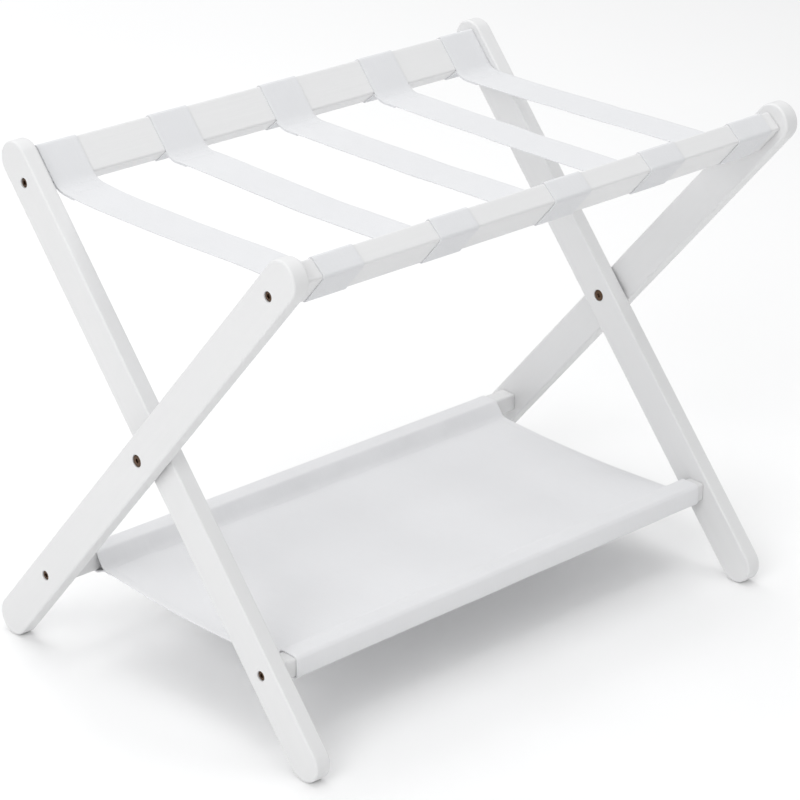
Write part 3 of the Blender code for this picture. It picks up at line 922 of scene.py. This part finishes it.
def shelf():
    node = "shelf_sling"
    low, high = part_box(node)
    width = high.x - low.x
    rail_low, rail_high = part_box("back_lower_rail")
    rail_y = (rail_low.y + rail_high.y) / 2
    rail_z = (rail_low.z + rail_high.z) / 2
    offset = FIT_GAP + HEM_THICKNESS / 2
    out = LOW_RAIL_HALF[0] + offset
    corner = EASED_EDGE + offset
    seam_y = rail_y - LOW_RAIL_HALF[0] - SEAM_FROM_RAIL
    sheet_z = rail_z - LOW_RAIL_HALF[0] + SEAM_ABOVE_BASE
    tail_z = sheet_z - CLOTH_THICKNESS - SHELF_TAIL_GAP
    loop = [(seam_y, sheet_z, SHEET_BEND), (rail_y - out, rail_z + out, SLEEVE_CORNER),
            (rail_y + out, rail_z + out, SLEEVE_CORNER), (rail_y + out, rail_z - out, corner),
            (rail_y - out, rail_z - out, corner), (seam_y, tail_z, SHELF_TAIL_BEND),
            (seam_y - SHELF_TAIL, tail_z, 0.0)]
    corners = mirror(loop) + loop
    front_gathers = waves(seed=3, longest=0.070, count=4)
    back_gathers = waves(seed=7, longest=0.085, count=5)
    tension = waves(seed=5, longest=0.31, count=3)
    slack = waves(seed=11, longest=0.19, count=4)

    def drop(across, y):
        share = np.clip(np.abs(y) / seam_y, 0.0, 1.0)
        free = (1 - share ** 2) ** 1.2
        left = SHELF_SAG_LEFT * np.exp(-(across + width / 2) / SHELF_SAG_REACH)
        right = SHELF_SAG_RIGHT * np.exp((across - width / 2) / SHELF_SAG_REACH)
        depth = SHELF_SAG + left + right + SHELF_SAG_WAVE * tension(across)
        pull_line = across - SHELF_PULL_SLANT * y
        pulled = SHELF_PULL * share * (1 - share) * 4 * front_gathers(pull_line)
        return free * depth + pulled

    def bulge(across, along):
        """Puckers along both seams that die away, and a slack wave in the sleeves' outer faces."""
        past_seam = np.abs(along - middle) - seam_y - PUCKER_PAST_SEAM
        pucker = PUCKER * np.exp(-(past_seam / PUCKER_REACH) ** 2)
        ripples = np.where(along < middle, front_gathers(across), back_gathers(across))
        outer = np.exp(-((past_seam - SLEEVE_FACE_FROM_PUCKER) / SLEEVE_FACE_REACH) ** 2)
        return pucker * ripples + SLEEVE_WAVE * outer * (1 + slack(across)) / 2

    cloth = Cloth(corners, lambda y: (low.x + high.x) / 2, SHELF_STEP, drop, bulge)
    middle = cloth.length / 2

    def half_thickness(across):
        share = np.clip((across - (width / 2 - HEM_WIDTH)) / HEM_RAMP, 0.0, 1.0)
        return (CLOTH_THICKNESS + (HEM_THICKNESS - CLOTH_THICKNESS) * share) / 2

    section = cut_edge(width, SHELF_COLUMNS, half_thickness)
    obj = new_object("canvas_" + node, cloth.mesh(node, section), CANVAS)
    half = CLOTH_THICKNESS / 2
    edge = width / 2
    seams = []
    for end in (-1, 1):
        at = middle + end * (seam_y - SEAM_MARGIN)
        seams.append(((-edge + SEAM_MARGIN, at), (edge - SEAM_MARGIN, at), half))
        across = end * (edge - HEM_WIDTH + HEM_SEAM_MARGIN)
        reach = seam_y - HEM_SEAM_FROM_SLEEVE
        seams.append(((across, middle - reach), (across, middle + reach), HEM_THICKNESS / 2))
    thread = stitches("thread_" + node, cloth, seams)
    for piece in (obj, thread):
        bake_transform(piece)
    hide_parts(node)


# ---------------------------------------------------------------------------------------------
# The rack

for end in ("left", "right"):
    leg(end, True)
    leg(end, False)

top_holes = [(TOP_BOLT - TOP_RAIL, INSERT_HOLE, INSERT_HOLE_DEPTH),
             (TOP_DOWEL - TOP_RAIL, DOWEL_HOLE, DOWEL_HOLE_IN_RAIL)]
low_holes = [(0.0, INSERT_HOLE, INSERT_HOLE_DEPTH)]
rail("front_top_rail", True, TOP_RAIL_HALF, TOP_RAIL, 0.0, top_holes)
rail("back_top_rail", False, TOP_RAIL_HALF, TOP_RAIL, 0.0, top_holes)
rail("back_lower_rail", True, LOW_RAIL_HALF, LOW_RAIL, -LEG_ANGLE, low_holes)
rail("front_lower_rail", False, LOW_RAIL_HALF, LOW_RAIL, -LEG_ANGLE, low_holes)

outer_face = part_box("outer_leg_right")[1].x
inner_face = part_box("inner_leg_right")[1].x
rail_bolts("front_top_rail", True, outer_face, TOP_BOLT)
rail_bolts("back_lower_rail", True, outer_face, LOW_RAIL)
rail_bolts("back_top_rail", False, inner_face, TOP_BOLT)
rail_bolts("front_lower_rail", False, inner_face, LOW_RAIL)
pivot_hardware(outer_face)

for number in range(1, 6):
    strap(number)
shelf()

for node, obj in frame["nodes"].items():
    if "_insert_" in node:
        obj.data.materials[0] = ZINC
    elif "_dowel_" in node:
        obj.data.materials[0] = BEECH


# ---------------------------------------------------------------------------------------------
# Studio


def pale_floor():
    mesh = bpy.data.meshes.new("floor")
    size = 8.0
    mesh.from_pydata([(-size, -size, 0), (size, -size, 0), (size, size, 0), (-size, size, 0)], [],
                     [(0, 1, 2, 3)])
    material, tree, shader = new_material("studio_floor")
    place = add(tree, "TexCoord").outputs["Object"]
    tone = noise(tree, place, 3.0, 2.0)
    colour = blend_colours(tree, tone, (0.955, 0.955, 0.955), (0.965, 0.965, 0.965))
    tree.links.new(colour, shader.inputs["Base Color"])
    shader.inputs["Roughness"].default_value = 0.9
    shader.inputs["Specular IOR Level"].default_value = 0.1
    new_object("floor", mesh, material)


def softbox(name, place, aim, size, power):
    lamp = bpy.data.lights.new(name, "AREA")
    lamp.shape = "SQUARE"
    lamp.size = size
    lamp.energy = power
    obj = bpy.data.objects.new(name, lamp)
    bpy.context.scene.collection.objects.link(obj)
    obj.location = place
    obj.rotation_euler = (Vector(place) - Vector(aim)).to_track_quat("Z", "Y").to_euler()


def studio():
    pale_floor()
    world = bpy.data.worlds.new("studio")
    world.use_nodes = True
    backdrop = world.node_tree.nodes["Background"]
    backdrop.inputs["Color"].default_value = (0.99, 0.995, 1.0, 1.0)
    backdrop.inputs["Strength"].default_value = 0.60
    bpy.context.scene.world = world
    bpy.context.scene.view_settings.view_transform = "Standard"
    softbox("key", place=(-3.6, -1.2, 2.6), aim=(0.0, 0.0, 0.25), size=2.4, power=60.0)
    softbox("top", place=(0.1, 0.0, 3.2), aim=(0.0, 0.0, 0.3), size=2.6, power=34.0)
    softbox("backdrop", place=(0.6, 4.0, 3.4), aim=(0.0, 2.6, 0.0), size=2.6, power=50.0)


def camera():
    """The photograph's view: turned 43.7 degrees to the left, 23.5 above, from 3.08 m away."""
    azimuth = math.radians(-43.719)
    elevation = math.radians(23.495)
    roll = math.radians(0.648)
    distance = 3.0846
    target = Vector((0.0050, 0.0, 0.2273))
    back = Vector((math.sin(azimuth) * math.cos(elevation),
                   -math.cos(azimuth) * math.cos(elevation), math.sin(elevation)))
    right = Vector((math.cos(azimuth), math.sin(azimuth), 0.0))
    up = back.cross(right)
    rolled_right = right * math.cos(roll) + up * math.sin(roll)
    rolled_up = up * math.cos(roll) - right * math.sin(roll)
    turn = Matrix((rolled_right, rolled_up, back)).transposed().to_4x4()
    data = bpy.data.cameras.new("camera")
    data.lens = 137.015
    data.sensor_width = 36.0
    obj = bpy.data.objects.new("camera", data)
    bpy.context.scene.collection.objects.link(obj)
    obj.matrix_world = Matrix.Translation(target + back * distance) @ turn
    bpy.context.scene.camera = obj


studio()
camera()
